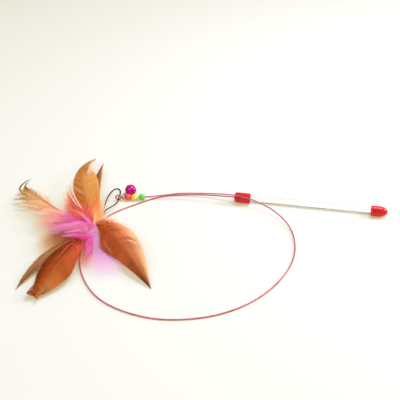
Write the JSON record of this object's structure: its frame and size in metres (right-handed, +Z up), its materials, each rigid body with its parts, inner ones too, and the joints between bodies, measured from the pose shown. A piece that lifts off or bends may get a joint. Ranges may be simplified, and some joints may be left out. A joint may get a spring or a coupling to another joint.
{
  "type": "cat teaser wand",
  "caption": "Cat teaser wand: clear tube handle with red end caps, springy pink coated wire, beads, a jingle bell and a feather lure on a black elastic loop.",
  "frame": {"origin": "on the handle's axis, at the middle of the rear cap's straight wall", "axes": "+X runs along the handle and out of the rear cap, +Z up from the table that the toy lies on"},
  "size_m": [0.3303, 0.1976, 0.0168],
  "materials": {
    "clear_tube": "clear gloss",
    "red_cap": "gloss",
    "pink_wire": "satin coating",
    "steel": "satin",
    "crimp": "satin",
    "bead_green": "gloss",
    "bead_yellow": "gloss",
    "bead_red": "gloss",
    "bell_magenta": "metallic gloss",
    "bell_lilac": "metallic gloss",
    "black_elastic": "matte",
    "thread": "matte",
    "feather_rust": "matte",
    "feather_tan": "matte",
    "feather_dark": "matte",
    "feather_beige": "matte",
    "down_pink": "matte",
    "down_lilac": "matte",
    "down_salmon": "matte"
  },
  "bodies": {
    "handle": {"handle_tube": "clear_tube", "front_cap": "red_cap", "rear_cap": "red_cap", "wire_anchor": "steel", "wire": "pink_wire", "end_eye": "pink_wire", "eye_crimp": "crimp"},
    "green_bead": {"bead_green": "bead_green"},
    "yellow_bead": {"bead_yellow": "bead_yellow"},
    "red_bead": {"bead_red": "bead_red"},
    "ring": {"bell_ring": "bell_lilac"},
    "bell": {"bell_top": "bell_magenta", "bell_bottom": "bell_magenta", "bell_shank": "bell_lilac"},
    "ball": {"bell_ball": "steel"},
    "lure": {"elastic_loop": "black_elastic", "elastic_knot": "black_elastic", "binding": "thread", "feather_right": "feather_rust", "feather_top": "feather_tan", "feather_under": "feather_dark", "feather_left": "feather_beige", "feather_front": "feather_rust", "feather_back": "feather_tan", "down_left": "down_pink", "down_right": "down_lilac", "down_front": "down_pink", "down_top": "down_salmon"}
  },
  "joints": [
    {"name": "green_bead_spin", "type": "hinge", "parent": "handle", "child": "green_bead", "pos_m": [-0.20391, -0.01183, -0.00155], "axis": [-0.9781, -0.2079, 0], "continuous": true},
    {"name": "yellow_bead_spin", "type": "hinge", "parent": "handle", "child": "yellow_bead", "pos_m": [-0.21017, -0.01316, -0.00155], "axis": [-0.9781, -0.2079, 0], "continuous": true},
    {"name": "red_bead_spin", "type": "hinge", "parent": "handle", "child": "red_bead", "pos_m": [-0.2159, -0.01438, -0.00155], "axis": [-0.9781, -0.2079, 0], "continuous": true},
    {"name": "ring_swing", "type": "hinge", "parent": "handle", "child": "ring", "pos_m": [-0.22044, -0.01534, -0.00155], "axis": [0.9781, 0.2079, 0], "range_deg": [0, 120]},
    {"name": "bell_swing", "type": "hinge", "parent": "ring", "child": "bell", "pos_m": [-0.21956, -0.01118, -0.00095], "axis": [-0.0289, -0.1361, 0.9903], "range_deg": [0, 35]},
    {"name": "ball_rattle", "type": "slide", "parent": "bell", "child": "ball", "axis": [0, 0, 1], "range_m": [0, 0.0061]},
    {"name": "lure_swing", "type": "hinge", "parent": "handle", "child": "lure", "pos_m": [-0.22445, -0.0162, -0.00155], "axis": [0, 0, 1], "range_deg": [-10, 25]}
  ]
}
